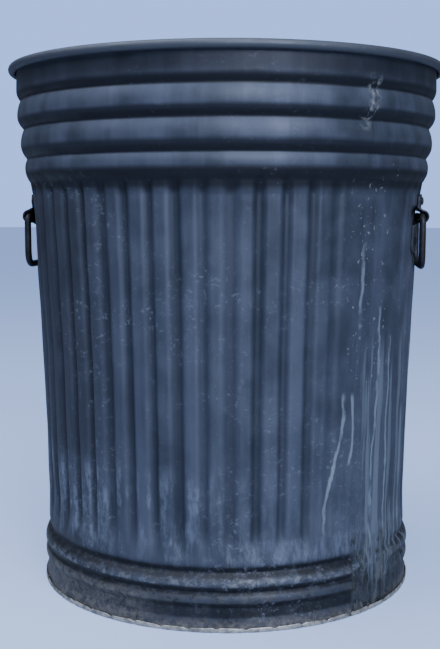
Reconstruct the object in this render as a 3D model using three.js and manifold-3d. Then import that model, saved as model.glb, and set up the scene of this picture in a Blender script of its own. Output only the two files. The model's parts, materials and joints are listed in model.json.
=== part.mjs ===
// A corrugated galvanised steel dustbin with a wired rim, a seamed-in base and two drop handles.
// Millimetres, +Z up. The origin is the centre of the foot ring, on the ground. The handles are
// on +X and -X, and the bin's front faces -Y. Angles round the bin start at -Y and run towards +X.

import * as THREE from 'three';
import { mergeVertices } from 'three/addons/utils/BufferGeometryUtils.js';
import Module from 'manifold-3d';

const wasm = await Module();
wasm.setup();

// ---- Driving dimensions ----

const HEIGHT = 545;
const RIM_RADIUS = 230;
const SHEET = 1;
const GAP = 0.3; // between pieces that touch

// Rim: the top edge of the sheet is curled outwards round a wire.
const WIRE_RADIUS = 2.7;
const CURL_INSIDE = 3.5;
const CURL_SWEEP = 270; // degrees, from the neck over the wire and back underneath
const CURL_STEPS = 6;

// Corrugation: full depth between RIB_TOP and RIB_BOTTOM. It dies out over RIB_FADE below them
// and over half of that above them.
const RIB_PITCH = 7.2; // degrees
const RIB_DEPTH = 4.5;
const RIB_TOP = 415;
const RIB_BOTTOM = 95;
const RIB_FADE = 26;
const SEAM_ANGLE = 50.4; // the middle of the plain strip that carries the side seam
const PLAIN_HALF_WIDTH = 1.5 * RIB_PITCH;
const POINTS_PER_RIB = 2;
const SIDES = (POINTS_PER_RIB * 360) / RIB_PITCH;

// The wall outside the corrugation: grooves and rolled beads, as [outside radius, height].
const NECK_LENGTH = 20.5;
const TOP_BEADS = [
  [209.5, 430],
  [214.2, 440],
  [211.9, 449.5],
  [218.4, 465],
  [214.8, 480],
  [221.3, 494],
  [217.5, 509],
];
const FOOT_BEADS = [
  [198.9, 1.3],
  [197.2, 13],
  [199.5, 28],
  [197, 37],
  [199.5, 46],
  [195.4, 60],
];

// The corrugated wall between them flares a little more above its middle than below.
const CREST_LINE = [
  [194.6, RIB_BOTTOM],
  [199.3, (RIB_BOTTOM + RIB_TOP) / 2],
  [207.3, RIB_TOP],
];

// Base pan: a dished floor whose skirt is folded up round the lower edge of the wall.
const PAN_EDGE_HEIGHT = 21;
const PAN_CROWN = 5;
const LIP_HEIGHT = 7;

// Pad: behind each handle the ribs are pressed nearly flat. The bracket's upper flange is above it.
const PAD_DEPTH = 3.8;
const PAD_HALF_WIDTH = 2.5 * RIB_PITCH;
const PAD_BOTTOM = 349;
const PAD_TOP = 395;
const PAD_FADE = 5;

// Handle: a ring of round rod that swings in the loop of a riveted bracket.
const PIVOT_HEIGHT = 390;
const PIVOT_REACH = 5.15; // from the pad to the pivot's axis
const ROD_RADIUS = 3.5;
const ROD_SIDES = 8;
const BAIL_WIDTH = 98; // between the centre lines of the legs
const BAIL_DROP = 51; // from the pivot to the centre line of the grip
const BAIL_TOP_BEND = 8;
const BAIL_GRIP_BEND = 15;
const BAIL_STEPS = 56;
const BAIL_END_GAP = 1; // the rod's two ends face each other inside the loop

const BRACKET_SHEET = 1.8;
const BRACKET_LENGTH = 89;
const BRACKET_TOP = 413;
const BRACKET_BOTTOM = 352;
const LOOP_INSIDE = 5.3;
const LOOP_STEPS = 6;
const FLANGE_START = 9.5; // above and below the pivot

const RIVET_HEIGHTS = { upper: 406, lower: 364 };
const RIVET_ANGLE = RIB_PITCH; // each rivet sits on the crest next to the handle's middle
const SHANK_RADIUS = 2.2;
const RIVET_HEAD_RADIUS = 4.5;
const RIVET_HEAD_HEIGHT = 2;
const RIVET_SIDES = 8;
const WASHER_RADIUS = 5;
const WASHER_SHEET = 1;

// ---- Materials ----

const zinc = (name, color, roughness, metalness) =>
  new THREE.MeshStandardMaterial({ name, color, roughness, metalness });

const bodyZinc = zinc('weathered_zinc_sheet', 0x4a5668, 0.55, 0.7);
const baseZinc = zinc('worn_zinc_foot', 0x6f7580, 0.6, 0.6);
const wireSteel = zinc('rim_wire_steel', 0x5b626c, 0.5, 0.8);
const bracketSteel = zinc('dark_bracket_steel', 0x2b2f38, 0.6, 0.6);
const bailSteel = zinc('dark_handle_rod', 0x24262c, 0.55, 0.6);
const rivetSteel = zinc('rivet_steel', 0x3d434d, 0.5, 0.7);

// ---- Shape helpers ----

const radians = THREE.MathUtils.degToRad;
const point = (x, y) => new THREE.Vector2(x, y);

// A profile of [radius, height] points is turned about Z, from the front towards +X.
function turned(profile, sides) {
  const geometry = new THREE.LatheGeometry(profile, sides);
  return geometry.rotateX(Math.PI / 2);
}

function closed(profile) {
  return [...profile, profile[0]];
}

function arc(centre, radius, fromDegrees, toDegrees, steps) {
  return Array.from({ length: steps + 1 }, (_, i) => {
    const angle = radians(fromDegrees + ((toDegrees - fromDegrees) * i) / steps);
    return point(centre.x + radius * Math.cos(angle), centre.y + radius * Math.sin(angle));
  });
}

function moveVertices(geometry, move) {
  const positions = geometry.attributes.position;
  const vertex = new THREE.Vector3();
  for (let i = 0; i < positions.count; i++) {
    vertex.fromBufferAttribute(positions, i);
    move(vertex);
    positions.setXYZ(i, vertex.x, vertex.y, vertex.z);
  }
  return geometry;
}

function toSolid(geometry) {
  const bare = geometry.clone();
  bare.deleteAttribute('normal');
  bare.deleteAttribute('uv');
  const merged = mergeVertices(bare, 1e-4);
  return new wasm.Manifold(
    new wasm.Mesh({
      numProp: 3,
      vertProperties: new Float32Array(merged.attributes.position.array),
      triVerts: new Uint32Array(merged.index.array),
    }),
  );
}

function toGeometry(solid) {
  const mesh = solid.getMesh();
  const geometry = new THREE.BufferGeometry();
  geometry.setAttribute('position', new THREE.BufferAttribute(mesh.vertProperties, 3));
  geometry.setIndex(new THREE.BufferAttribute(mesh.triVerts, 1));
  geometry.computeVertexNormals();
  return geometry;
}

function cutHoles(geometry, cutters) {
  const solid = cutters.reduce((rest, cutter) => rest.subtract(toSolid(cutter)), toSolid(geometry));
  return toGeometry(solid);
}

// ---- Wall shape ----

// Outside radius of the wall along a rib's crest.
function crestRadius(height) {
  const [bottom, middle, top] = CREST_LINE;
  const [low, high] = height < middle[1] ? [bottom, middle] : [middle, top];
  return THREE.MathUtils.mapLinear(height, low[1], high[1], low[0], high[0]);
}

// How deep the corrugation is at a height, from 0 to 1.
function ribStrength(height) {
  const startsAtFoot = THREE.MathUtils.smoothstep(height, RIB_BOTTOM - RIB_FADE, RIB_BOTTOM);
  const diesAtBeads = THREE.MathUtils.smoothstep(height, RIB_TOP, RIB_TOP + RIB_FADE / 2);
  return startsAtFoot * (1 - diesAtBeads);
}

// How far the wall is pressed in at an angle, from 0 on a crest to 1 in a valley.
function ribWave(degrees) {
  const fromSeam = Math.abs(degrees - SEAM_ANGLE);
  if (fromSeam < PLAIN_HALF_WIDTH) return 0;
  return (1 - Math.cos((2 * Math.PI * (degrees - 90)) / RIB_PITCH)) / 2;
}

// How far the pads press the crests in at a height.
function padDepth(height) {
  const startsBelow = THREE.MathUtils.smoothstep(height, PAD_BOTTOM - PAD_FADE, PAD_BOTTOM);
  const endsAbove = THREE.MathUtils.smoothstep(height, PAD_TOP, PAD_TOP + PAD_FADE);
  return PAD_DEPTH * startsBelow * (1 - endsAbove);
}

// The pads are at 90 and 270 degrees.
function isOnPad(degrees) {
  return Math.abs((degrees % 180) - 90) <= PAD_HALF_WIDTH;
}

function pressWall(vertex) {
  const angle = Math.atan2(vertex.x, -vertex.y);
  const degrees = (THREE.MathUtils.radToDeg(angle) + 360) % 360;
  const ribs = RIB_DEPTH * ribStrength(vertex.z) * ribWave(degrees);
  const depth = isOnPad(degrees) ? Math.max(ribs, padDepth(vertex.z)) : ribs;
  vertex.x -= depth * Math.sin(angle);
  vertex.y += depth * Math.cos(angle);
}

// ---- Pieces of the bin ----

const curlOutside = CURL_INSIDE + SHEET;
const curlCentre = point(RIM_RADIUS - curlOutside, HEIGHT - curlOutside);

function bodyShell(holeCutters) {
  const padEdges = [PAD_BOTTOM - PAD_FADE, PAD_BOTTOM, PAD_TOP, PAD_TOP + PAD_FADE];
  const padRings = padEdges.map((height) => [crestRadius(height), height]);
  const ribRings = [...CREST_LINE.slice(0, -1), ...padRings, CREST_LINE.at(-1)];
  const rings = [...FOOT_BEADS, ...ribRings, ...TOP_BEADS];
  const outside = rings.map(([radius, height]) => point(radius, height));
  const neckRadius = curlCentre.x - CURL_INSIDE;
  outside.push(point(neckRadius, curlCentre.y - NECK_LENGTH));
  const curlEnd = 180 - CURL_SWEEP;
  const profile = [
    ...outside,
    ...arc(curlCentre, CURL_INSIDE, 180, curlEnd, CURL_STEPS),
    ...arc(curlCentre, curlOutside, curlEnd, 180, CURL_STEPS),
    ...outside.map((p) => point(p.x - SHEET, p.y)).reverse(),
  ];
  const shell = moveVertices(turned(closed(profile), SIDES), pressWall);
  return cutHoles(shell, holeCutters);
}

function rimWire() {
  const section = arc(curlCentre, WIRE_RADIUS, 0, 360, 6);
  return turned(section, SIDES);
}

function basePan() {
  const [bottomEdge, waist] = FOOT_BEADS;
  const skirtOutside = waist[0] - SHEET - GAP;
  const skirtInside = skirtOutside - SHEET;
  const lipInside = bottomEdge[0] + GAP;
  const floorBottom = PAN_EDGE_HEIGHT - SHEET;
  const profile = [
    point(0, floorBottom + PAN_CROWN),
    point(skirtInside, floorBottom),
    point(skirtInside, 0),
    point(lipInside + SHEET, 0),
    point(lipInside + SHEET, LIP_HEIGHT),
    point(lipInside, LIP_HEIGHT),
    point(lipInside, SHEET),
    point(skirtOutside, SHEET),
    point(skirtOutside, PAN_EDGE_HEIGHT),
    point(0, PAN_EDGE_HEIGHT + PAN_CROWN),
  ];
  return turned(profile, SIDES);
}

// ---- Pieces of a handle, made for the +X side ----

const loopOutside = LOOP_INSIDE + BRACKET_SHEET;
const seatRadius = (height) => crestRadius(height) - padDepth(height); // what the bracket lies on
const pivotRadius = seatRadius(PIVOT_HEIGHT) + PIVOT_REACH;

const flangeInside = (height) => seatRadius(height) + GAP;
const flangeOutside = (height) => flangeInside(height) + BRACKET_SHEET;

function bracketOutline() {
  const pivot = point(pivotRadius, PIVOT_HEIGHT);
  const onOutside = (height) => point(flangeOutside(height), height);
  const onInside = (height) => point(flangeInside(height), height);
  const upperStart = PIVOT_HEIGHT + FLANGE_START;
  const lowerStart = PIVOT_HEIGHT - FLANGE_START;
  const shoulder = (height) => {
    const reach = flangeOutside(height) - pivotRadius;
    return THREE.MathUtils.radToDeg(Math.acos(reach / loopOutside));
  };
  return [
    onOutside(BRACKET_TOP),
    onOutside(upperStart),
    ...arc(pivot, loopOutside, shoulder(upperStart), -shoulder(lowerStart), LOOP_STEPS),
    onOutside(lowerStart),
    onOutside(BRACKET_BOTTOM),
    onInside(BRACKET_BOTTOM),
    onInside(lowerStart),
    onInside(PIVOT_HEIGHT - LOOP_INSIDE),
    ...arc(pivot, LOOP_INSIDE, -90, 90, LOOP_STEPS),
    onInside(upperStart),
    onInside(BRACKET_TOP),
  ];
}

// The flanges are bent to the round of the wall, and the loop between them stays straight.
function bendToWall(vertex) {
  const fromPivot = Math.abs(vertex.z - PIVOT_HEIGHT);
  const share = THREE.MathUtils.smoothstep(fromPivot, loopOutside, FLANGE_START);
  const radius = seatRadius(vertex.z);
  vertex.x -= share * (radius - Math.sqrt(radius * radius - vertex.y * vertex.y));
}

function bracket(holeCutters) {
  const geometry = new THREE.ExtrudeGeometry(new THREE.Shape(bracketOutline()), {
    depth: BRACKET_LENGTH,
    steps: 6,
    bevelEnabled: false,
  });
  geometry.translate(0, 0, -BRACKET_LENGTH / 2);
  geometry.rotateX(Math.PI / 2);
  return cutHoles(moveVertices(geometry, bendToWall), holeCutters);
}

// The rod's centre line, hanging from the pivot, with a rounded bend at each of its four corners.
function bailPath() {
  const half = BAIL_WIDTH / 2;
  const at = (y, z) => new THREE.Vector3(0, y, z);
  const path = new THREE.CurvePath();
  const turns = [
    { corner: at(half, 0), before: at(half - BAIL_TOP_BEND, 0), after: at(half, -BAIL_TOP_BEND) },
    {
      corner: at(half, -BAIL_DROP),
      before: at(half, BAIL_GRIP_BEND - BAIL_DROP),
      after: at(half - BAIL_GRIP_BEND, -BAIL_DROP),
    },
    {
      corner: at(-half, -BAIL_DROP),
      before: at(BAIL_GRIP_BEND - half, -BAIL_DROP),
      after: at(-half, BAIL_GRIP_BEND - BAIL_DROP),
    },
    { corner: at(-half, 0), before: at(-half, -BAIL_TOP_BEND), after: at(BAIL_TOP_BEND - half, 0) },
  ];
  let end = at(BAIL_END_GAP / 2, 0);
  for (const { corner, before, after } of turns) {
    path.add(new THREE.LineCurve3(end, before));
    path.add(new THREE.QuadraticBezierCurve3(before, corner, after));
    end = after;
  }
  path.add(new THREE.LineCurve3(end, at(-BAIL_END_GAP / 2, 0)));
  return path;
}

function bail() {
  const section = new THREE.Shape(arc(point(0, 0), ROD_RADIUS, 0, 360, ROD_SIDES).slice(0, ROD_SIDES));
  return new THREE.ExtrudeGeometry(section, { extrudePath: bailPath(), steps: BAIL_STEPS });
}

// Lays a turned piece whose axis is Z along a rivet's line, pointing out of the wall.
function alongRivet(geometry, { height, degrees }) {
  geometry.rotateY(Math.PI / 2);
  geometry.translate(0, 0, height);
  return geometry.rotateZ(radians(degrees));
}

// The inside of a crest is a groove, so a flat washer seats on its flanks.
function washerFace(height) {
  const halfPitch = radians(RIB_PITCH / 2) * seatRadius(height);
  const slope = (RIB_DEPTH - padDepth(height)) / halfPitch;
  return seatRadius(height) - SHEET - WASHER_RADIUS * slope - 2 * GAP;
}

const headFace = (height) => flangeOutside(height) + 2 * GAP;

function rivet(place) {
  const head = headFace(place.height);
  const tail = washerFace(place.height) - WASHER_SHEET - GAP;
  const profile = [
    point(0, tail - RIVET_HEAD_HEIGHT),
    point(SHANK_RADIUS + 1, tail - RIVET_HEAD_HEIGHT / 2),
    point(SHANK_RADIUS + 1, tail),
    point(SHANK_RADIUS, tail),
    point(SHANK_RADIUS, head),
    point(RIVET_HEAD_RADIUS, head),
    point(RIVET_HEAD_RADIUS * 0.7, head + RIVET_HEAD_HEIGHT * 0.7),
    point(0, head + RIVET_HEAD_HEIGHT),
  ];
  return alongRivet(turned(profile, RIVET_SIDES), place);
}

function washer(place) {
  const outer = washerFace(place.height);
  const inner = outer - WASHER_SHEET;
  const hole = SHANK_RADIUS + GAP;
  const profile = [
    point(hole, inner),
    point(WASHER_RADIUS, inner),
    point(WASHER_RADIUS, outer),
    point(hole, outer),
  ];
  return alongRivet(turned(closed(profile), RIVET_SIDES), place);
}

function rivetHole(place) {
  const radius = SHANK_RADIUS + GAP;
  const inner = pivotRadius - 30;
  const outer = pivotRadius + 10;
  const profile = [point(0, inner), point(radius, inner), point(radius, outer), point(0, outer)];
  return alongRivet(turned(profile, RIVET_SIDES), place);
}

const rivetPlaces = Object.entries(RIVET_HEIGHTS).flatMap(([row, height]) => [
  { name: `${row}_front`, height, degrees: -RIVET_ANGLE },
  { name: `${row}_back`, height, degrees: RIVET_ANGLE },
]);

// ---- Assembly ----

function piece(name, geometry, material) {
  const mesh = new THREE.Mesh(geometry, material);
  mesh.name = name;
  return mesh;
}

function handle(side) {
  const group = new THREE.Group();
  const swinging = piece(`${side}_bail`, bail(), bailSteel);
  swinging.position.set(pivotRadius, 0, PIVOT_HEIGHT);
  group.add(swinging);
  group.add(piece(`${side}_handle_bracket`, bracket(rivetPlaces.map(rivetHole)), bracketSteel));
  for (const place of rivetPlaces) {
    group.add(piece(`${side}_rivet_${place.name}`, rivet(place), rivetSteel));
    group.add(piece(`${side}_washer_${place.name}`, washer(place), rivetSteel));
  }
  return group;
}

const rightHandle = handle('right');
const leftHandle = handle('left');
leftHandle.rotation.z = Math.PI;

const bothSides = rivetPlaces.flatMap((place) => [place, { ...place, degrees: place.degrees + 180 }]);

const bin = new THREE.Group();
bin.add(piece('body_shell', bodyShell(bothSides.map(rivetHole)), bodyZinc));
bin.add(piece('rim_wire', rimWire(), wireSteel));
bin.add(piece('base_pan', basePan(), baseZinc));
bin.add(rightHandle);
bin.add(leftHandle);

export default bin;
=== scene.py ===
"""A weathered corrugated steel dustbin with two drop handles: its looks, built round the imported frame.

Lengths are in metres. Angles round the bin are in degrees, from the front (-Y) towards +X.
Every piece keeps the place and size of the CAD nodes that it stands for.
"""

import json
import math

import bmesh
import bpy
import numpy as np
from mathutils import Matrix, Vector


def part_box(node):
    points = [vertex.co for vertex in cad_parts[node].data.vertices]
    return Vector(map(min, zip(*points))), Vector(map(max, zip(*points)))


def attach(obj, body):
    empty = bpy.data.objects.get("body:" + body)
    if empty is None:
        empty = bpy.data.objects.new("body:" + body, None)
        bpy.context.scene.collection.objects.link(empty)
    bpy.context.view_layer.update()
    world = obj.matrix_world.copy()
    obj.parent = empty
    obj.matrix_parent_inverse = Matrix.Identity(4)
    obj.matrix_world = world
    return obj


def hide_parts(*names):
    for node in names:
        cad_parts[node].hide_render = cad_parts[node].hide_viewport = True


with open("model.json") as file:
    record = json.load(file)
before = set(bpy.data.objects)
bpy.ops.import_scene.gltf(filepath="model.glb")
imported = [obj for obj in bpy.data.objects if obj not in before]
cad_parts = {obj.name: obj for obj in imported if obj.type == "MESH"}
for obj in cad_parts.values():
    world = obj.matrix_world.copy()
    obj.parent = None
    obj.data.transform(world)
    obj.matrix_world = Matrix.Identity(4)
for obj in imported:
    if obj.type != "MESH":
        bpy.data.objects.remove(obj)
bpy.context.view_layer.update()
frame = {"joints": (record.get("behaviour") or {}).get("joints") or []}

MM = 0.001
SIDES = ("right", "left")
RIVET_NODES = ("upper_front", "upper_back", "lower_front", "lower_back")

# ---- Sizes taken from the frame ----

_, shell_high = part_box("body_shell")
RIM_RADIUS = shell_high.x
HEIGHT = shell_high.z
right_hinge = next(joint for joint in frame["joints"] if joint["child"] == "right_handle")
PIVOT_RADIUS, _, PIVOT_HEIGHT = right_hinge["pos_m"]

# ---- Sizes of the sheet and its shaping ----

SHEET = 1.0 * MM
CURL_RADIUS = 4.5 * MM
CURL_SWEEP = 302
RIM_WIRE_RADIUS = 2.7 * MM

# The outside of the wall from the ground up: height and radius in millimetres, and kind. Between a
# groove and a nose the sheet swells into half a bead that is flat at its nose. Anything else is
# joined by a line.
OUTLINE = (
    (1.3, 198.9, "line"),
    (14.5, 196.8, "line"),
    (24.0, 196.5, "groove"),
    (30.0, 199.4, "nose"),
    (38.8, 196.3, "groove"),
    (45.0, 199.6, "nose"),
    (56.5, 192.9, "groove"),
    (68.0, 195.5, "nose"),
    (95.0, 194.7, "line"),
    (255.0, 199.3, "line"),
    (411.0, 207.1, "line"),
    (425.0, 209.2, "groove"),
    (440.0, 214.2, "nose"),
    (449.5, 211.9, "groove"),
    (464.5, 218.4, "nose"),
    (480.2, 214.8, "groove"),
    (493.0, 221.3, "nose"),
    (509.3, 217.5, "groove"),
    (520.0, 222.0, "nose"),
    (541.0, 222.0, "line"),
)
SWELL = 2.1  # power of a half bead's curve
CREST_LINE = ((95.0, 194.7), (255.0, 199.3), (412.0, 207.2))  # the crests' heights and radii

# Ribs: one crest and one valley a pitch. They deepen over RIB_START and die away over RIB_END.
RIB_PITCH = 7.2
RIB_COUNT = round(360 / RIB_PITCH)
RIB_DEPTH = 4.5 * MM
RIB_START = (60 * MM, 104 * MM)
RIB_END = (412 * MM, 434 * MM)
FIRST_CREST = 90
VALLEY_ANGLES = FIRST_CREST + RIB_PITCH * (np.arange(RIB_COUNT) + 0.5)
VALLEY_FLOOR = 0.05  # half widths, as shares of the pitch
VALLEY_MOUTH = 0.35

# Seam: a plain strip without ribs, where the sheet's outer edge laps over its inner one.
SEAM_MIDDLE = 50.4
SEAM_HALF_WIDTH = 1.5 * RIB_PITCH
LAP_ANGLE = 44.2
LAP_RISE = 1.1 * MM
LAP_TOP = 515 * MM
FOOT_FOLD_RISE = 1.3 * MM

# Beside the seam the foot is hammered towards a straight line of heights and radii in millimetres.
FLAT_OF_FOOT = ((1.3, 198.4), (68.0, 195.3))
FLAT_SHARE = 0.85
FLAT_END = (56, 80)  # the hammered stretch dies away between these angles
FLAT_TOP = (56 * MM, 70 * MM)  # and between these heights
LUMP_HEIGHT = 0.8  # millimetres

# Waves and small dents of the old sheet.
RIPPLE_COUNT = 14
RIPPLE_HEIGHT = 0.13  # millimetres

# Pad: behind each handle the ribs are pressed nearly flat. The bracket's upper flange is above it.
PAD_DEPTH = 3.8 * MM
PAD_HALF_WIDTH = 2.5 * RIB_PITCH
PAD_BOTTOM = 349 * MM
PAD_TOP = 395 * MM
PAD_FADE = 5 * MM


def smoothstep(low, high, value):
    share = np.clip((value - low) / (high - low), 0, 1)
    return share * share * (3 - 2 * share)


def window(value, low, high, soft):
    """1 between low and high, falling to 0 over soft on either side."""
    return smoothstep(low - soft, low, value) * (1 - smoothstep(high, high + soft, value))


# ---- Mesh helpers ----


def on_bin(radius, degrees, height):
    """Points at a radius, angle and height, as an array whose last axis is x, y, z."""
    angle = np.radians(degrees)
    radius, angle, height = np.broadcast_arrays(radius, angle, height)
    return np.stack([radius * np.sin(angle), -radius * np.cos(angle), height], -1)


def add_mesh(name, points, faces, material, body, nodes, valley=None):
    """Makes a piece that rides on body and stands for nodes.

    valley says how deep in the valley of a rib each point lies, from 0 to about 1.
    """
    mesh = bpy.data.meshes.new(name)
    mesh.from_pydata(points.reshape(-1, 3).tolist(), [], faces.tolist())
    if valley is not None:
        attribute = mesh.attributes.new("valley", "FLOAT", "POINT")
        attribute.data.foreach_set("value", valley.ravel().astype(np.float32))
    tidy = bmesh.new()
    tidy.from_mesh(mesh)
    bmesh.ops.remove_doubles(tidy, verts=tidy.verts, dist=1e-6)
    tidy.to_mesh(mesh)
    tidy.free()
    mesh.shade_smooth()
    mesh.materials.append(material)
    piece = bpy.data.objects.new(name, mesh)
    bpy.context.scene.collection.objects.link(piece)
    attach(piece, body)
    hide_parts(*nodes)
    return piece


def grid_faces(columns, rows, close_around=True, close_along=True):
    """Quads over a grid of points, joined back to its start round the columns or along the rows."""
    around = np.arange(columns if close_around else columns - 1)
    along = np.arange(rows if close_along else rows - 1)
    i, j = (a.ravel() for a in np.meshgrid(around, along, indexing="ij"))

    def corner(p, q):
        return (p % columns) * rows + q % rows

    return np.stack([corner(i, j), corner(i + 1, j), corner(i + 1, j + 1), corner(i, j + 1)], 1)


def arc(centre, radius, start, end, steps):
    """Points [radius, height] along an arc, angles in degrees."""
    angle = np.radians(np.linspace(start, end, steps + 1))
    return np.stack([centre[0] + radius * np.cos(angle), centre[1] + radius * np.sin(angle)], -1)


# ---- Body shell ----


def outline(height):
    """Outside radius of the wall, without its ribs, at each height."""
    heights = np.array([station[0] for station in OUTLINE]) * MM
    radii = np.array([station[1] for station in OUTLINE]) * MM
    kinds = [station[2] for station in OUTLINE]
    radius = np.interp(height, heights, radii)
    for i in range(len(OUTLINE) - 1):
        if {kinds[i], kinds[i + 1]} != {"groove", "nose"}:
            continue
        nose, groove = (i, i + 1) if kinds[i] == "nose" else (i + 1, i)
        inside = (height >= heights[i]) & (height <= heights[i + 1])
        share = np.clip((height - heights[nose]) / (heights[groove] - heights[nose]), 0, 1)
        swollen = radii[nose] - (radii[nose] - radii[groove]) * share**SWELL
        radius = np.where(inside, swollen, radius)
    return radius


def wall_heights():
    """Heights of the mesh's rows: close together over the beads, wider apart down the ribs."""
    foot = np.linspace(1.3, 84, 66)
    ribs = np.linspace(90, 396, 38)
    top = np.linspace(401, 520, 80)
    neck = np.array([526, 532, 537])
    return np.concatenate([foot, ribs, top, neck]) * MM


def wall_columns():
    """Angles of the mesh's columns: most of them on the flanks of the ribs and at the lap's edge."""
    half = np.array([0.0, 0.05, 0.1, 0.15, 0.2, 0.25, 0.3, 0.36, 0.43])
    within = np.concatenate([-half[:0:-1], half, [0.5]])
    columns = (VALLEY_ANGLES[:, None] + within * RIB_PITCH).ravel() % 360
    lap = LAP_ANGLE + np.array([-0.25, -0.05, 0.05, 0.25, 1.2, 2.0, 2.8])
    columns = columns[np.abs(columns - LAP_ANGLE) > 0.3]
    return np.sort(np.concatenate([columns, lap]))


def rib_depth(degrees, height):
    """How far the wall is pressed in between the crests of its ribs.

    The valleys differ a little in width and depth, and those beside the seam are shallower.
    """
    uneven = np.random.default_rng(11)
    width = uneven.uniform(0.78, 1.18, RIB_COUNT)
    deepness = uneven.uniform(0.8, 1.08, RIB_COUNT)
    # The valleys beside the seam are the last ones, which lie past 360 degrees.
    pitches_from_seam = np.abs(VALLEY_ANGLES - 360 - SEAM_MIDDLE) / RIB_PITCH
    deepness *= 0.35 + 0.65 * smoothstep(1.5, 4, pitches_from_seam)
    place = (degrees - FIRST_CREST) / RIB_PITCH
    which = np.floor(place).astype(int) % RIB_COUNT
    from_valley = np.abs(place % 1 - 0.5) / width[which]
    depth = RIB_DEPTH * deepness[which] * (1 - smoothstep(VALLEY_FLOOR, VALLEY_MOUTH, from_valley))
    plain = np.abs(degrees - SEAM_MIDDLE) < SEAM_HALF_WIDTH
    reach = smoothstep(*RIB_START, height) * (1 - smoothstep(*RIB_END, height))
    return np.where(plain, 0, depth * reach)


def pad_depth(degrees, height):
    """How far the crests are pressed in behind the two handles."""
    from_middle = np.abs(degrees % 180 - 90)
    across = 1 - smoothstep(PAD_HALF_WIDTH - 1.5, PAD_HALF_WIDTH, from_middle)
    return PAD_DEPTH * across * window(height, PAD_BOTTOM, PAD_TOP, PAD_FADE)


def wear(degrees, height):
    """Small dents and waves of old sheet, from a seeded sum of long ripples."""
    ripples = np.random.default_rng(7)
    angle = np.radians(degrees)
    total = np.zeros(np.broadcast(degrees, height).shape)
    for _ in range(RIPPLE_COUNT):
        turns = ripples.integers(2, 17)
        pitch = ripples.uniform(0.06, 0.3)
        phase, shift = ripples.uniform(0, 2 * math.pi, 2)
        total += np.sin(turns * angle + phase) * np.sin(2 * math.pi * height / pitch + shift)
    return total * RIPPLE_HEIGHT * MM


def seam(degrees, height):
    """The overlap of the side seam: the outer sheet's edge stands proud, then drops to the sheet below.

    A short fold of the sheet stands beside it on the foot.
    """
    rise = smoothstep(LAP_ANGLE - 5, LAP_ANGLE - 0.3, degrees)
    drop = 1 - smoothstep(LAP_ANGLE - 0.05, LAP_ANGLE + 0.05, degrees)
    lap = LAP_RISE * rise * drop * window(height, 0, LAP_TOP, 8 * MM)
    fold_width = window(degrees, 45.6, 46.3, 0.5)
    fold_height = window(height, 16 * MM, 40 * MM, 4 * MM)
    return lap + FOOT_FOLD_RISE * fold_width * fold_height


def flattened_foot(degrees, height, radius):
    """Beside the seam the beads of the foot are hammered nearly flat."""
    (low, low_radius), (high, high_radius) = FLAT_OF_FOOT
    straight = MM * np.interp(height / MM, [low, high], [low_radius, high_radius])
    around = smoothstep(LAP_ANGLE, LAP_ANGLE + 1, degrees) * (1 - smoothstep(*FLAT_END, degrees))
    share = around * (1 - smoothstep(*FLAT_TOP, height))
    waves = np.sin(degrees * 1.3 + height / (9 * MM)) * np.sin(height / (4.5 * MM))
    lumps = waves * LUMP_HEIGHT * MM
    return radius + FLAT_SHARE * share * (straight + lumps - radius)


def wall_radius(degrees, height):
    """Outside radius of the wall with everything pressed into it."""
    radius = np.broadcast_to(outline(height), np.broadcast(degrees, height).shape)
    radius = flattened_foot(degrees, height, radius)
    pressed = np.maximum(rib_depth(degrees, height), pad_depth(degrees, height))
    return radius - pressed + wear(degrees, height) + seam(degrees, height)


def body_shell(material):
    """The sheet's outside and inside, joined over the open curl of the rim."""
    columns = wall_columns()[:, None]
    heights = wall_heights()[None, :]
    outer = wall_radius(columns, heights)
    outside = on_bin(outer, columns, heights)
    inside = on_bin(outer - SHEET, columns, heights)[:, ::-1]
    centre = (RIM_RADIUS - CURL_RADIUS, HEIGHT - CURL_RADIUS)
    end = 180 - CURL_SWEEP
    under = arc(centre, CURL_RADIUS - SHEET, 180, end, 20)
    over = arc(centre, CURL_RADIUS, end, 180, 26)
    curl = np.concatenate([under, over])
    roll = on_bin(curl[None, :, 0], columns, curl[None, :, 1])
    points = np.concatenate([outside, roll, inside], 1)
    faces = grid_faces(points.shape[0], points.shape[1])
    pressed = rib_depth(columns, heights) / RIB_DEPTH
    valley = np.concatenate([pressed, np.zeros((len(columns), len(curl))), pressed[:, ::-1]], 1)
    nodes = ["body_shell"]
    return add_mesh("body_shell_skin", points, faces, material, "bin", nodes, valley)


def rim_wire(material):
    """The wire inside the curl."""
    centre = (RIM_RADIUS - CURL_RADIUS, HEIGHT - CURL_RADIUS)
    section = arc(centre, RIM_WIRE_RADIUS, 0, 360, 12)[:-1]
    columns = np.linspace(0, 360, 200, endpoint=False)[:, None]
    points = on_bin(section[None, :, 0], columns, section[None, :, 1])
    faces = grid_faces(len(columns), len(section))
    return add_mesh("rim_wire_round", points, faces, material, "bin", ["rim_wire"])


# ---- Base pan ----

LIP_RADIUS = 200.2 * MM
LIP_HEIGHT = 4.8 * MM
SKIRT_RADIUS = 195.4 * MM
FLOOR_EDGE = 21 * MM
FLOOR_CROWN = 5 * MM
FLOOR_WAVE = 1.2 * MM
CRIMP_PITCH = 8  # degrees
CRIMP_START = 3.5
CRIMP_DEPTH = 0.7 * MM
CRIMP_DROP = 1.7 * MM
LIP_WAVE = 0.5 * MM


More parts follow.
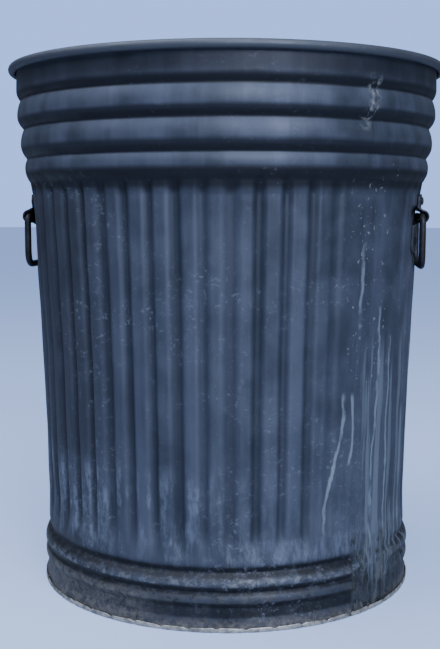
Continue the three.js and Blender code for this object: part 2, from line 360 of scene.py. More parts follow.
def base_pan(material):
    """A crowned floor, a skirt, and a lip folded up round the wall and crimped at even steps."""
    columns = np.arange(0, 360, 0.5)[:, None]
    from_crimp = np.abs((columns - CRIMP_START + CRIMP_PITCH / 2) % CRIMP_PITCH - CRIMP_PITCH / 2)
    crimp = 1 - smoothstep(0.2, 0.9, from_crimp)
    uneven = LIP_WAVE * np.sin(np.radians(columns) * 23) * np.sin(np.radians(columns) * 7 + 1)
    lip_top = LIP_HEIGHT + uneven - CRIMP_DROP * crimp
    lip_out = LIP_RADIUS - CRIMP_DEPTH * crimp

    def ring(radius, height):
        return on_bin(radius, columns, height)

    floor_radii = np.linspace(0, SKIRT_RADIUS - 3 * MM, 24)
    share = floor_radii / SKIRT_RADIUS
    pressed = FLOOR_WAVE * np.cos(share * 5 * math.pi) * window(share, 0.25, 0.85, 0.1)
    crown = FLOOR_EDGE + FLOOR_CROWN * (1 - share**2) + pressed
    rows = [ring(radius, height) for radius, height in zip(floor_radii, crown)]
    # Down the skirt, up the inside of the lip, over its edge, down its outside and back underneath.
    rows += [
        ring(SKIRT_RADIUS - 1.2 * MM, FLOOR_EDGE - 0.2 * MM),
        ring(SKIRT_RADIUS, FLOOR_EDGE - 1.4 * MM),
        ring(SKIRT_RADIUS, 1.6 * MM),
        ring(SKIRT_RADIUS + 0.6 * MM, SHEET),
        ring(lip_out - 1.6 * MM, SHEET),
        ring(lip_out - SHEET, 1.6 * MM),
        ring(lip_out - SHEET, lip_top - 0.4 * MM),
        ring(lip_out - 0.7 * MM, lip_top),
        ring(lip_out - 0.3 * MM, lip_top),
        ring(lip_out, lip_top - 0.5 * MM),
        ring(lip_out, 1.4 * MM),
        ring(lip_out - 0.4 * MM, 0.4 * MM),
        ring(lip_out - 1.3 * MM, 0),
        ring(SKIRT_RADIUS + 0.4 * MM, 0),
        ring(SKIRT_RADIUS - 0.6 * MM, 0.4 * MM),
        ring(SKIRT_RADIUS - SHEET, 1.4 * MM),
        ring(SKIRT_RADIUS - SHEET, FLOOR_EDGE - 1.6 * MM),
    ]
    rows += [ring(radius, height - SHEET) for radius, height in zip(floor_radii[::-1], crown[::-1])]
    points = np.stack(rows, 1)[:, ::-1]
    faces = grid_faces(points.shape[0], points.shape[1], close_along=False)
    return add_mesh("base_pan_skin", points, faces, material, "bin", ["base_pan"])


# ---- Handles, made for the +X side and turned half round for the other ----

ROD_RADIUS = 3.5 * MM
ROD_SIDES = 16
ROD_GAP = 0.5 * MM  # half the gap between the rod's ends inside the loop
BAIL_HALF = 49 * MM
BAIL_DROP = 51 * MM
TOP_BEND = 8 * MM  # how far a bend reaches along the straights from their corner
GRIP_BEND = 15 * MM
BRACKET_SHEET = 1.8 * MM
BRACKET_HALF = 44.5 * MM
BRACKET_TOP = 413 * MM
BRACKET_BOTTOM = 352 * MM
BRACKET_CORNER = 6 * MM
BRACKET_EDGE = 0.3 * MM
LOOP_INSIDE = 5.3 * MM
LOOP_OUTER_ARC = (80, -115)  # where the loop's two faces start and end, in degrees above level
LOOP_INNER_ARC = (90, -100)
LOOP_STEPS = 22
FLANGE_START = 9.5 * MM
CLEARANCE = 0.3 * MM

RIVET_HEIGHTS = {"upper": 406 * MM, "lower": 364 * MM}
RIVET_SIDES = 24
SHANK_RADIUS = 2.2 * MM
HEAD_RADIUS = 4.5 * MM
HEAD_RISE = 2.1 * MM
TAIL_RADIUS = 3.4 * MM
TAIL_RISE = 1.8 * MM
TAIL_DEPTH = 1.3 * MM  # from the face that a washer bears on to the root of the tail
# The section of a washer in millimetres: radius, and distance out from the face that it bears on.
WASHER_SECTION = (
    (2.5, -1.0),
    (4.8, -1.0),
    (5.0, -0.8),
    (5.0, -0.2),
    (4.8, 0.0),
    (2.5, 0.0),
    (2.5, -1.0),
)


def seat_radius(height):
    """Outside radius of the crests and the pad that the bracket's flanges lie on."""
    heights, radii = np.array(CREST_LINE).T * MM
    return np.interp(height, heights, radii) - pad_depth(90, height)


def turned_to_side(points, side):
    turn = Matrix.Rotation(0 if side == "right" else math.pi, 3, "Z")
    return points @ np.array(turn).T


def rod_path():
    """Centre line of the ring handle, hanging from its pivot: four sides joined by bends."""
    corners = [
        (BAIL_HALF, 0, TOP_BEND),
        (BAIL_HALF, -BAIL_DROP, GRIP_BEND),
        (-BAIL_HALF, -BAIL_DROP, GRIP_BEND),
        (-BAIL_HALF, 0, TOP_BEND),
    ]
    start, end = Vector((ROD_GAP, 0)), Vector((-ROD_GAP, 0))
    places = [start] + [Vector(c[:2]) for c in corners] + [end]
    path = [start]
    for before, (y, z, reach), after in zip(places, corners, places[2:]):
        corner = Vector((y, z))
        enter = corner + (before - corner).normalized() * reach
        leave = corner + (after - corner).normalized() * reach
        for t in np.linspace(0, 1, 11):
            path.append((1 - t) ** 2 * enter + 2 * t * (1 - t) * corner + t**2 * leave)
    path.append(end)
    return np.array([(0, p[0], p[1]) for p in path])


def bail(side, material):
    """The ring handle: a round rod swept along its path, with closed ends."""
    path = rod_path()
    along = np.gradient(path, axis=0)
    along /= np.linalg.norm(along, axis=1)[:, None]
    across = np.array([1.0, 0, 0])
    third = np.cross(along, across)
    angle = np.linspace(0, 2 * math.pi, ROD_SIDES, endpoint=False)[:, None, None]
    ring = np.cos(angle) * across + np.sin(angle) * third[None]
    tube = path[None] + ring * ROD_RADIUS
    ends = [np.broadcast_to(path[i], (ROD_SIDES, 1, 3)) for i in (0, -1)]
    points = np.concatenate([ends[0], tube, ends[1]], 1) + np.array([PIVOT_RADIUS, 0, PIVOT_HEIGHT])
    points = turned_to_side(points, side)[::-1]
    faces = grid_faces(points.shape[0], points.shape[1], close_along=False)
    name = f"{side}_ring_handle"
    return add_mesh(name, points, faces, material, f"{side}_handle", [f"{side}_bail"])


def bracket_section():
    """Outer and inner faces of the bracket from top to bottom, as [x, height] at its middle."""
    upper = np.linspace(BRACKET_TOP, PIVOT_HEIGHT + FLANGE_START, 7)
    lower = np.linspace(PIVOT_HEIGHT - FLANGE_START, BRACKET_BOTTOM, 7)

    def flange(heights, lift):
        return np.stack([seat_radius(heights) + CLEARANCE + lift, heights], -1)

    pivot = (PIVOT_RADIUS, PIVOT_HEIGHT)
    outer_loop = arc(pivot, LOOP_INSIDE + BRACKET_SHEET, *LOOP_OUTER_ARC, LOOP_STEPS)
    inner_loop = arc(pivot, LOOP_INSIDE, *LOOP_INNER_ARC, LOOP_STEPS)
    outer = [flange(upper, BRACKET_SHEET), outer_loop, flange(lower, BRACKET_SHEET)]
    inner = [flange(upper, 0), inner_loop, flange(lower, 0)]
    return np.concatenate(outer), np.concatenate(inner)


def bracket(side, material):
    """A strip with a loop pressed across it for the rod. Its flanges follow the round of the wall."""
    outer, inner = bracket_section()
    loop = np.concatenate([outer, inner[::-1]])
    across = np.linspace(-1, 1, 29)
    height = loop[:, 1]
    from_end = np.minimum(BRACKET_TOP - height, height - BRACKET_BOTTOM)
    corner = np.clip(1 - from_end / BRACKET_CORNER, 0, 1)
    half = BRACKET_HALF - BRACKET_CORNER * (1 - np.sqrt(1 - corner**2))
    y = across[:, None] * half[None]
    bend = smoothstep(LOOP_INSIDE + BRACKET_SHEET, FLANGE_START, np.abs(height - PIVOT_HEIGHT))
    wall = seat_radius(height)
    fall_away = wall - np.sqrt(wall**2 - y**2)
    x = loop[None, :, 0] - bend * fall_away
    points = np.stack([x, y, np.broadcast_to(height, y.shape)], -1)
    points = turned_to_side(points, side)
    faces = grid_faces(points.shape[0], points.shape[1], close_around=False)
    count = points.shape[1]
    caps = []  # the strip's two cut ends
    for first, flip in ((0, True), ((points.shape[0] - 1) * count, False)):
        for k in range(len(outer) - 1):
            quad = [first + k, first + k + 1, first + count - 2 - k, first + count - 1 - k]
            caps.append(quad if flip else quad[::-1])
    faces = np.concatenate([faces, np.array(caps)])
    name = f"{side}_bracket_plate"
    nodes = [f"{side}_handle_bracket"]
    piece = add_mesh(name, points, faces, material, "bin", nodes)
    rounding = piece.modifiers.new("edge_rounding", "BEVEL")
    rounding.width = BRACKET_EDGE
    rounding.segments = 2
    rounding.limit_method = "ANGLE"
    rounding.angle_limit = math.radians(50)
    return piece


def small_lathe(name, profile, node, place, material):
    """A little turned piece laid along a rivet, whose angle and height are place.

    Its profile is [distance from the rivet's axis, distance from the bin's axis].
    """
    degrees, height = place
    angle = np.linspace(0, 2 * math.pi, RIVET_SIDES, endpoint=False)[:, None]
    radius, outwards = profile[None, :, 0], profile[None, :, 1]
    x = np.broadcast_to(outwards, (RIVET_SIDES, len(profile)))
    points = np.stack([x, radius * np.cos(angle), radius * np.sin(angle) + height], -1)
    turn = Matrix.Rotation(math.radians(degrees), 3, "Z")
    points = points @ np.array(turn).T
    faces = grid_faces(RIVET_SIDES, len(profile), close_along=False)
    return add_mesh(name, points, faces, material, "bin", [node])


def rivet_place(side, which):
    """Angle and height of a rivet: its row is upper or lower, its end front or back."""
    row, end = which.split("_")
    degrees = (-RIB_PITCH if end == "front" else RIB_PITCH) + (0 if side == "right" else 180)
    return degrees, RIVET_HEIGHTS[row]


def squashed_arc(radius, rise, base, start, end, steps):
    """Part of a domed end on a rivet's axis, from one angle to another."""
    return arc((0, 0), 1, start, end, steps) * np.array([radius, rise]) + np.array([0, base])


def rivet(side, which, material):
    """A domed head over the bracket, a shank, and a hammered tail over the washer inside the wall."""
    degrees, height = rivet_place(side, which)
    head = seat_radius(height) + BRACKET_SHEET + 2 * CLEARANCE
    tail = washer_face(height) - TAIL_DEPTH
    hammered_tail = squashed_arc(TAIL_RADIUS, TAIL_RISE, tail, -90, 0, 5)
    shank = np.array([[SHANK_RADIUS, tail], [SHANK_RADIUS, head]])
    dome = squashed_arc(HEAD_RADIUS, HEAD_RISE, head, 0, 90, 8)
    profile = np.concatenate([hammered_tail, shank, dome])
    node = f"{side}_rivet_{which}"
    return small_lathe(f"{node}_round", profile, node, (degrees, height), material)


def washer_face(height):
    """Where a washer bears inside the wall, behind the crests or the pad."""
    return seat_radius(height) - SHEET - 3 * CLEARANCE


def washer(side, which, material):
    """A flat ring with softened edges under a rivet's tail."""
    degrees, height = rivet_place(side, which)
    outer = washer_face(height)
    profile = np.array([(radius * MM, outer + out * MM) for radius, out in WASHER_SECTION])
    node = f"{side}_washer_{which}"
    return small_lathe(f"{node}_round", profile, node, (degrees, height), material)


# ---- Materials ----


class Shader:
    """A small helper that wires one Principled material."""

    def __init__(self, name, roughness, metallic):
        self.material = bpy.data.materials.new(name)
        self.material.use_nodes = True
        self.tree = self.material.node_tree
        self.surface = self.tree.nodes["Principled BSDF"]
        self.surface.inputs["Roughness"].default_value = roughness
        self.surface.inputs["Metallic"].default_value = metallic
        self.place = self.node("ShaderNodeTexCoord").outputs["Object"]

    def node(self, kind, **settings):
        made = self.tree.nodes.new(kind)
        for key, value in settings.items():
            setattr(made, key, value)
        return made

    def link(self, source, target):
        self.tree.links.new(source, target)

    def feed(self, socket, value):
        """Links value to socket, or sets it there if it is a plain number or colour."""
        if isinstance(value, bpy.types.NodeSocket):
            self.link(value, socket)
        else:
            socket.default_value = value

    def math(self, operation, first, second=0.0, clamp=False):
        made = self.node("ShaderNodeMath", operation=operation, use_clamp=clamp)
        self.feed(made.inputs[0], first)
        self.feed(made.inputs[1], second)
        return made.outputs[0]

    def times(self, first, second):
        return self.math("MULTIPLY", first, second)

    def larger(self, first, second):
        return self.math("MAXIMUM", first, second)

    def ramp(self, value, low, high, to_low=0.0, to_high=1.0):
        """Smoothly maps value from low..high to to_low..to_high."""
        made = self.node("ShaderNodeMapRange", interpolation_type="SMOOTHSTEP")
        self.feed(made.inputs["Value"], value)
        ends = {"From Min": low, "From Max": high, "To Min": to_low, "To Max": to_high}
        for key, number in ends.items():
            made.inputs[key].default_value = number
        return made.outputs["Result"]

    def band(self, value, low, high, soft):
        """1 between low and high, falling to 0 over soft on either side."""
        rise = self.ramp(value, low - soft, low)
        fall = self.ramp(value, high, high + soft, 1.0, 0.0)
        return self.times(rise, fall)

    def noise(self, scale, detail, rough=0.55, stretch=(1, 1, 1)):
        """Noise in the bin's own space. A small stretch along an axis draws it out that way."""
        mapping = self.node("ShaderNodeMapping")
        self.link(self.place, mapping.inputs["Vector"])
        mapping.inputs["Scale"].default_value = stretch
        made = self.node("ShaderNodeTexNoise")
        self.link(mapping.outputs["Vector"], made.inputs["Vector"])
        made.inputs["Scale"].default_value = scale
        made.inputs["Detail"].default_value = detail
        made.inputs["Roughness"].default_value = rough
        return made.outputs["Fac"]

    def axes(self):
        """The bin's x, y and height at the shaded point."""
        split = self.node("ShaderNodeSeparateXYZ")
        self.link(self.place, split.inputs[0])
        return split.outputs[0], split.outputs[1], split.outputs[2]

    def degrees_round(self):
        """The angle round the bin, in degrees from the front towards +X, from -180 to 180."""
        x, y, _ = self.axes()
        angle = self.math("ARCTAN2", x, self.times(y, -1.0))
        return self.times(angle, math.degrees(1))

    def attribute(self, name):
        return self.node("ShaderNodeAttribute", attribute_name=name).outputs["Fac"]

    def facing_up(self):
        """1 where the surface faces up, 0 where it is upright and -1 where it faces down."""
        normal = self.node("ShaderNodeNewGeometry").outputs["Normal"]
        split = self.node("ShaderNodeSeparateXYZ")
        self.link(normal, split.inputs[0])
        return split.outputs[2]

    def mix(self, share, first, second):
        made = self.node("ShaderNodeMix", data_type="RGBA")
        self.feed(made.inputs[0], share)
        self.feed(made.inputs[6], first)
        self.feed(made.inputs[7], second)
        return made.outputs[2]

    def bump(self, height, distance, strength):
        made = self.node("ShaderNodeBump")
        self.link(height, made.inputs["Height"])
        made.inputs["Distance"].default_value = distance
        made.inputs["Strength"].default_value = strength
        self.link(made.outputs["Normal"], self.surface.inputs["Normal"])

    def paint(self, base, roughness=None):
        self.link(base, self.surface.inputs["Base Color"])
        if roughness is not None:
            self.link(roughness, self.surface.inputs["Roughness"])
        return self.material


def colour(red, green, blue):
    return (red, green, blue, 1.0)


# Linear colours of the sheet, its painted light and shade, what lies on it, the folded lip, the floor
# and rust.
ZINC_DARK = colour(0.039, 0.05, 0.079)
ZINC_LIGHT = colour(0.07, 0.087, 0.137)
ZINC_STREAK = colour(0.105, 0.125, 0.195)
# Painted light on top; painted shade in the valleys, underneath, in the folds with dirt, and on the
# left.
TOP_PAINTED_LIGHT = colour(0.14, 0.18, 0.28)
VALLEY_PAINTED_SHADE = colour(0.012, 0.018, 0.034)
UNDERSIDE_PAINTED_SHADE = colour(0.006, 0.008, 0.016)
FOLD_DIRT_AND_PAINTED_SHADE = colour(0.006, 0.008, 0.015)
LEFT_PAINTED_SHADE = colour(0.022, 0.024, 0.038)
OXIDE = colour(0.2, 0.245, 0.35)
RUN_COLOUR = colour(0.32, 0.39, 0.5)
SPLASH_COLOUR = colour(0.34, 0.37, 0.4)
SCUFF_COLOUR = colour(0.2, 0.235, 0.32)
# A painted highlight on the rim, then painted shade on the foot below its upper bead.
RIM_PAINTED_HIGHLIGHT = colour(0.2, 0.23, 0.3)
FOOT_PAINTED_SHADE = colour(0.02, 0.023, 0.032)
FOOT_SANDY = colour(0.08, 0.083, 0.095)
FOOT_BLOTCH = colour(0.012, 0.014, 0.02)
SAND = colour(0.2, 0.192, 0.195)
FLAT_DARK = colour(0.02, 0.026, 0.03)
FLAT_PALE = colour(0.16, 0.18, 0.21)
CRUST = colour(0.22, 0.25, 0.31)
LIP_WORN = colour(0.2, 0.21, 0.23)
LIP_BRIGHT = colour(0.5, 0.51, 0.54)
LIP_DIRT = colour(0.085, 0.068, 0.05)
FLOOR_DIRT = colour(0.05, 0.045, 0.04)
RUST = colour(0.07, 0.032, 0.02)
# The darkest and the lightest colour of each steel.
STEELS = {
    "wire_steel": (colour(0.08, 0.085, 0.1), colour(0.16, 0.17, 0.19)),
    "bracket_steel": (colour(0.016, 0.02, 0.031), colour(0.05, 0.06, 0.085)),
    "rod_steel": (colour(0.01, 0.011, 0.018), colour(0.028, 0.03, 0.042)),
    "rivet_steel": (colour(0.018, 0.022, 0.032), colour(0.045, 0.052, 0.07)),
}

# Pale runs down the plain strip: angle at the top, angle at the foot, highest and lowest height.
RUNS = (
    (40.2, 34.5, 0.219, 0.082),
    (43.1, 43.1, 0.218, 0.156),
    (54.5, 53.0, 0.300, 0.065),
    (60.5, 60.5, 0.270, 0.080),
    (45.4, 44.6, 0.362, 0.288),
)
# Dirt and painted shade in the folds between the beads: lowest height, highest height and soft edge, in
# millimetres.
DIRT_AND_PAINTED_SHADE_LINES = (
    (37, 43, 3),
    (55.5, 61, 2),
    (54, 57, 8),
    (421, 432, 8),
    (450, 454.5, 2.5),
    (480, 485, 2.5),
    (509, 514, 2.5),
)


def body_material():
    """Dull zinc, stained, splashed and scuffed, with painted light and shade; painted shade darkens the
    left of the front.
    """
    s = Shader("weathered_zinc_with_painted_light", roughness=0.5, metallic=0.5)
    _, _, height = s.axes()
    degrees = s.degrees_round()
    mottle = s.noise(26, 6)
    grain = s.noise(220, 3)
    zinc = aged_zinc_with_painted_light(s, mottle)
    # Painted shade: the ribbed wall left of the front is darkened as if turned away from the light.
    painted_shade_on_left = s.ramp(degrees, -46, -14, 0.42, 0.0)
    below_bands = s.ramp(height, 0.4, 0.43, 1.0, 0.0)
    zinc = s.mix(s.times(painted_shade_on_left, below_bands), zinc, LEFT_PAINTED_SHADE)
    zinc = s.mix(bloom(s, degrees, height), zinc, OXIDE)
    zinc = foot_stains_and_painted_shade(s, degrees, height, zinc)
    # Dirt and painted shade in the folds between the beads and under the rim.
    zinc = s.mix(folds(s, degrees, height), zinc, FOLD_DIRT_AND_PAINTED_SHADE)
    zinc = s.mix(runs(s, degrees, height), zinc, RUN_COLOUR)
    zinc = s.mix(splashes(s, degrees, height), zinc, SPLASH_COLOUR)
    fewer_on_bands = s.ramp(height, 0.4, 0.45, 1.0, 0.25)
    zinc = s.mix(s.times(scuffs(s, grain), fewer_on_bands), zinc, SCUFF_COLOUR)
    # Painted highlight: the top of the rolled rim is made paler as if catching the light.
    painted_highlight_on_rim = s.ramp(height, 0.533, 0.539, 0.0, 0.3)
    zinc = s.mix(painted_highlight_on_rim, zinc, RIM_PAINTED_HIGHLIGHT)
    relief = s.math("ADD", s.times(mottle, 0.7), s.times(grain, 0.3))
    s.bump(relief, 0.6 * MM, 0.5)
    return s.paint(zinc, s.ramp(mottle, 0.3, 0.8, 0.46, 0.68))


def aged_zinc_with_painted_light(s, mottle):
    """The plain sheet: mottled and streaked, with painted shade in the valleys and underneath, painted
    light on top.
    """
    zinc = s.mix(s.ramp(mottle, 0.3, 0.72), ZINC_DARK, ZINC_LIGHT)
    streak = s.ramp(s.noise(34, 5, 0.6, (1, 1, 0.06)), 0.42, 0.68)
    zinc = s.mix(s.times(streak, 0.5), zinc, ZINC_STREAK)
    # Painted shade: the rib valleys are darkened as if in shadow.
    valley = s.ramp(s.attribute("valley"), 0.2, 1.0, 0.0, 0.6)
    zinc = s.mix(valley, zinc, VALLEY_PAINTED_SHADE)
    facing = s.facing_up()
    # Painted shade: surfaces that face down are darkened as if in shadow.
    painted_shade_underneath = s.ramp(facing, -0.36, -0.04, 0.85, 0.0)
    zinc = s.mix(painted_shade_underneath, zinc, UNDERSIDE_PAINTED_SHADE)
    # Painted light: surfaces that face up are made paler as if lit from above.
    painted_light_on_top = s.ramp(facing, 0.0, 0.4, 0.0, 0.16)
    return s.mix(painted_light_on_top, zinc, TOP_PAINTED_LIGHT)


def scuffs(s, grain):
    """Specks and small scratches, gathered in patches."""
    patch = s.ramp(s.noise(13, 3, 0.6), 0.48, 0.62)
    scratch = s.ramp(s.noise(150, 6, 0.78, (1, 1, 1.3)), 0.55, 0.65)
    speck = s.times(s.ramp(grain, 0.62, 0.72), 0.25)
    scratches = s.times(scratch, patch)
    return s.times(s.larger(scratches, speck), 0.55)


def folds(s, degrees, height):
    """Dirt and painted shade in the grooves between the beads and under the lowest bead; a thin painted
    shadow below the rim.

    It is broken up round the foot, and there is none where the foot is hammered flat.
    """
    darkening = 0.0
    for low, high, soft in DIRT_AND_PAINTED_SHADE_LINES:
        darkening = s.larger(darkening, s.band(height, low * MM, high * MM, soft * MM))
    # A painted shadow of the rolled rim, thinly on the sheet below it.
    painted_shadow_below_rim = s.times(s.ramp(height, 0.506, 0.526), 0.75)
    # Painted shade in the hollow under the lowest bead, fainter to the left of the front.
    painted_shade_under_bead = s.times(s.band(height, 0.015, 0.027, 0.003), s.ramp(degrees, -38, 5, 0.2, 0.95))
    darkening = s.larger(s.larger(darkening, painted_shadow_below_rim), painted_shade_under_bead)
    above_foot = s.ramp(height, 0.06, 0.08)
    broken = s.ramp(s.noise(90, 8, 0.75), 0.36, 0.52, 0.45, 1.0)
    darkening = s.times(darkening, s.larger(above_foot, broken))
    bare = s.math("SUBTRACT", 1.0, hammered(s, degrees, height))
    return s.times(s.times(darkening, bare), 0.86)


def hammered(s, degrees, height):
    """Where the foot is hammered flat beside the seam."""
    after_lap = s.ramp(degrees, LAP_ANGLE, LAP_ANGLE + 1)
    around = s.times(after_lap, s.ramp(degrees, *FLAT_END, 1.0, 0.0))
    return s.times(around, s.ramp(height, 0.07, 0.09, 1.0, 0.0))


def bloom(s, degrees, height):
    """White oxide on the crests above the foot: ragged smears, tall to the left and low to the right."""
    smears = s.noise(85, 8, 0.68, (1, 1, 0.22))
    ragged = s.noise(11, 5, 0.62, (1, 1, 0.7))
    crumbly = s.ramp(s.noise(260, 4, 0.7, (1, 1, 0.5)), 0.36, 0.56, 0.35, 1.0)
    ridge = s.ramp(s.attribute("valley"), 0.1, 0.7, 1.0, 0.25)
    shape = s.math("ADD", s.ramp(smears, 0.44, 0.6), s.ramp(ragged, 0.38, 0.62, -0.7, 0.3), clamp=True)
    tall = s.times(s.band(height, 0.085, 0.135, 0.03), s.ramp(degrees, -12, 14, 1.0, 0.2))
    low = s.times(s.band(height, 0.068, 0.082, 0.01), s.ramp(degrees, -60, -20, 0.2, 0.75))
    band = s.larger(tall, low)
    shape = s.times(s.times(shape, ridge), crumbly)
    return s.times(s.times(shape, band), 0.7)


def foot_stains_and_painted_shade(s, degrees, height, zinc):
    """Round the foot: painted shade, sandy and dark blotches, sand near the ground and a pale crust on a
    bead.
    """
    # Painted shade: the foot below its upper bead is darkened as if in the bead's shadow.
    painted_shade_below_upper_bead = s.ramp(height, 0.034, 0.042, 0.4, 0.0)
    zinc = s.mix(painted_shade_below_upper_bead, zinc, FOOT_PAINTED_SHADE)
    low = s.ramp(height, 0.04, 0.075, 1.0, 0.0)
    sandy = s.ramp(s.noise(75, 9, 0.72), 0.45, 0.62)
    zinc = s.mix(s.times(s.times(sandy, low), 0.6), zinc, FOOT_SANDY)
    blotch = s.ramp(s.noise(120, 7, 0.7), 0.36, 0.48, 0.75, 0.0)
    zinc = s.mix(s.times(blotch, low), zinc, FOOT_BLOTCH)
    front_left = s.times(s.band(degrees, -70, -22, 14), s.ramp(height, 0.03, 0.04, 1.0, 0.0))
    near_ground = s.larger(front_left, s.ramp(height, 0.005, 0.014, 1.0, 0.0))
    grains = s.ramp(s.noise(170, 9, 0.8), 0.38, 0.62)
    zinc = s.mix(s.times(s.times(near_ground, grains), 0.75), zinc, SAND)
    flat = hammered(s, degrees, height)
    dark = s.ramp(s.noise(85, 8, 0.7), 0.42, 0.52, 0.9, 0.2)
    zinc = s.mix(s.times(flat, dark), zinc, FLAT_DARK)
    pale = s.ramp(s.noise(75, 7, 0.65, (1, 1, 0.3)), 0.5, 0.62, 0.0, 0.7)
    zinc = s.mix(s.times(flat, pale), zinc, FLAT_PALE)
    upper_bead = s.band(height, 0.0455, 0.0505, 0.003)
    flakes = s.ramp(s.noise(140, 8, 0.72), 0.48, 0.6)
    return s.mix(s.times(s.times(upper_bead, flakes), 0.6), zinc, CRUST)


def runs(s, degrees, height):
    """The pale runs of the plain strip, each a thin uneven line, and fainter ones beside it."""
    wander = s.ramp(s.noise(38, 4, 0.6, (1, 1, 0.5)), 0.2, 0.8, -1.1, 1.1)
    place = s.math("ADD", degrees, wander)
    uneven = s.ramp(s.noise(75, 5, 0.6, (1, 1, 0.4)), 0.32, 0.52)
    total = s.times(fine_streaks(s, degrees, height), 0.55)
    for top_angle, low_angle, top, low in RUNS:
        middle = s.ramp(height, low, top, low_angle, top_angle)
        off = s.math("ABSOLUTE", s.math("SUBTRACT", place, middle))
        line = s.times(s.ramp(off, 0.25, 0.75, 1.0, 0.0), s.band(height, low, top, 0.006))
        total = s.larger(total, s.times(line, uneven))
    return s.times(total, 0.6)


def fine_streaks(s, degrees, height):
    """Many thin upright lines on the ribs beyond the plain strip."""
    thin = s.noise(110, 3, 0.5, (1, 1, 0.03))
    patch = s.noise(9, 2, 0.5, (1, 1, 0.5))
    strip = s.band(degrees, 50, 80, 5)
    tall = s.band(height, 0.05, 0.24, 0.05)
    lines = s.times(s.ramp(thin, 0.52, 0.6), s.ramp(patch, 0.28, 0.45))
    return s.times(lines, s.times(strip, tall))


def splashes(s, degrees, height):
    """Dried spots down the plain strip and one big splash over the top beads above it."""
    drops = s.ramp(s.noise(210, 2, 0.5), 0.66, 0.7)
    strip = s.times(s.band(degrees, 43, 56, 4), s.band(height, 0.24, 0.42, 0.03))
    spots = s.times(drops, strip)
    ragged = s.ramp(s.noise(95, 7, 0.72), 0.46, 0.58)
    lean = s.ramp(height, 0.467, 0.5, -2.2, 1.0)
    off = s.math("ABSOLUTE", s.math("SUBTRACT", s.math("SUBTRACT", degrees, 43.4), lean))
    splash = s.times(s.ramp(off, 0.9, 2.6, 1.0, 0.0), s.band(height, 0.477, 0.514, 0.01))
    return s.times(s.larger(spots, s.times(splash, ragged)), 0.6)


def steel_material(name):
    """Plain steel with mottling and rust in patches."""
    s = Shader(name, roughness=0.5, metallic=0.5)
    steel = s.mix(s.ramp(s.noise(60, 5), 0.35, 0.7), *STEELS[name])
    patches = s.times(s.ramp(s.noise(90, 6, 0.65), 0.6, 0.68), 0.6)
    s.bump(s.noise(400, 3), 0.25 * MM, 0.5)
    return s.paint(s.mix(patches, steel, RUST))


def foot_material():
    """The worn, folded lip and the floor: bright where it rubs, brown where dirt lies."""
    s = Shader("worn_foot_zinc", roughness=0.48, metallic=0.55)
    _, _, height = s.axes()
    zinc = s.mix(s.ramp(s.noise(110, 7, 0.65), 0.35, 0.62), LIP_WORN, LIP_BRIGHT)
    darkening = s.ramp(s.noise(60, 7, 0.7), 0.5, 0.62)
    thicker_upwards = s.ramp(height, 0.0, 0.007, 0.2, 0.75)
    zinc = s.mix(s.times(darkening, thicker_upwards), zinc, LIP_DIRT)
    on_floor = s.ramp(height, 0.012, 0.02)
    zinc = s.mix(s.times(on_floor, 0.6), zinc, FLOOR_DIRT)
    s.bump(s.noise(300, 4), 0.4 * MM, 0.6)
    return s.paint(zinc)


# ---- Stage ----

FLOOR_SIZE = 40
FLOOR_COLOUR = colour(0.38, 0.46, 0.64)
FLOOR_GLOW_COLOUR = colour(0.3, 0.47, 1.0)
FLOOR_GLOW = 0.8
ROOM_COLOUR = colour(0.72, 0.83, 1.0)
ROOM_STRENGTH = 0.16
BACKDROP_COLOUR = colour(0.3, 0.48, 1.0)
BACKDROP_STRENGTH = 1.6
LIGHT_TINT = (0.9, 0.94, 1.0)
# Each light's name, place, aim, size and power.
LIGHTS = (
    ("overhead", (-0.3, -0.5, 2.4), (0, 0, 0.3), (3.6, 1.6), 60),
    ("upper_left", (-1.7, -1.1, 2.1), (0, 0, 0.5), (1.2, 1.2), 16),
    ("front_right", (1.15, -2.5, 1.6), (0, 0, 0.25), (1.6, 1.4), 74),
)


def floor():
    """Pale ground. Its glow, which only the camera sees, brings it near the backdrop's brightness."""
    bpy.ops.mesh.primitive_plane_add(size=FLOOR_SIZE)
    plane = bpy.context.object
    plane.name = "floor"
    s = Shader("pale_floor", roughness=0.7, metallic=0.0)
    s.surface.inputs["Base Color"].default_value = FLOOR_COLOUR
    s.surface.inputs["Emission Color"].default_value = FLOOR_GLOW_COLOUR
    seen = s.node("ShaderNodeLightPath").outputs["Is Camera Ray"]
    s.link(s.times(seen, FLOOR_GLOW), s.surface.inputs["Emission Strength"])
    plane.data.materials.append(s.material)


def area_light(name, place, aim, size, power):
    data = bpy.data.lights.new(name, "AREA")
    data.shape = "RECTANGLE"
    data.size, data.size_y = size
    data.energy = power
    data.color = LIGHT_TINT
    light = bpy.data.objects.new(name, data)
    light.location = place
    light.rotation_euler = (Vector(aim) - Vector(place)).to_track_quat("-Z", "Y").to_euler()
    bpy.context.scene.collection.objects.link(light)


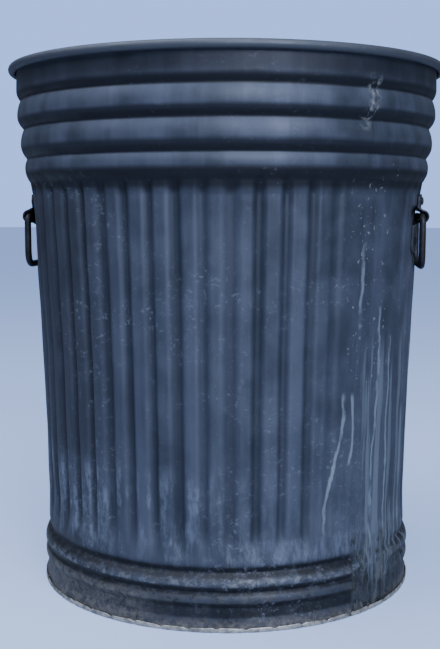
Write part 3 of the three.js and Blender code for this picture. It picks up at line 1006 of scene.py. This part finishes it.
def room():
    """Even cool light from all round, and a pale blue backdrop that only the camera sees."""
    world = bpy.data.worlds.new("room")
    bpy.context.scene.world = world
    world.use_nodes = True
    tree = world.node_tree
    lighting = tree.nodes["Background"]
    lighting.inputs["Color"].default_value = ROOM_COLOUR
    lighting.inputs["Strength"].default_value = ROOM_STRENGTH
    backdrop = tree.nodes.new("ShaderNodeBackground")
    backdrop.inputs["Color"].default_value = BACKDROP_COLOUR
    backdrop.inputs["Strength"].default_value = BACKDROP_STRENGTH
    seen = tree.nodes.new("ShaderNodeLightPath")
    either = tree.nodes.new("ShaderNodeMixShader")
    tree.links.new(seen.outputs["Is Camera Ray"], either.inputs[0])
    tree.links.new(lighting.outputs[0], either.inputs[1])
    tree.links.new(backdrop.outputs[0], either.inputs[2])
    tree.links.new(either.outputs[0], tree.nodes["World Output"].inputs["Surface"])


# Where the camera stands and how far it is turned aside and down, in degrees, with a lens in
# millimetres. They were fitted to the outline of the photographed bin.
CAMERA_DISTANCE = 1.1647
CAMERA_HEIGHT = 0.3995
CAMERA_ROUND = 6.0
CAMERA_PAN = -0.332
CAMERA_TILT = 6.286
CAMERA_LENS = 59.0


def camera():
    """Stands a little to the right of the front, below the rim, and looks slightly down."""
    data = bpy.data.cameras.new("camera")
    data.lens = CAMERA_LENS
    eye = bpy.data.objects.new("camera", data)
    round_bin = math.radians(CAMERA_ROUND)
    eye.location = (
        CAMERA_DISTANCE * math.sin(round_bin),
        -CAMERA_DISTANCE * math.cos(round_bin),
        CAMERA_HEIGHT,
    )
    upright = math.radians(90 - CAMERA_TILT)
    eye.rotation_euler = (upright, 0, math.radians(CAMERA_ROUND - CAMERA_PAN))
    bpy.context.scene.collection.objects.link(eye)
    bpy.context.scene.camera = eye


def build():
    zinc = body_material()
    foot = foot_material()
    wire = steel_material("wire_steel")
    plate = steel_material("bracket_steel")
    rod = steel_material("rod_steel")
    stud = steel_material("rivet_steel")
    body_shell(zinc)
    rim_wire(wire)
    base_pan(foot)
    for side in SIDES:
        bail(side, rod)
        bracket(side, plate)
        for which in RIVET_NODES:
            rivet(side, which, stud)
            washer(side, which, stud)


build()
floor()
for light in LIGHTS:
    area_light(*light)
room()
camera()
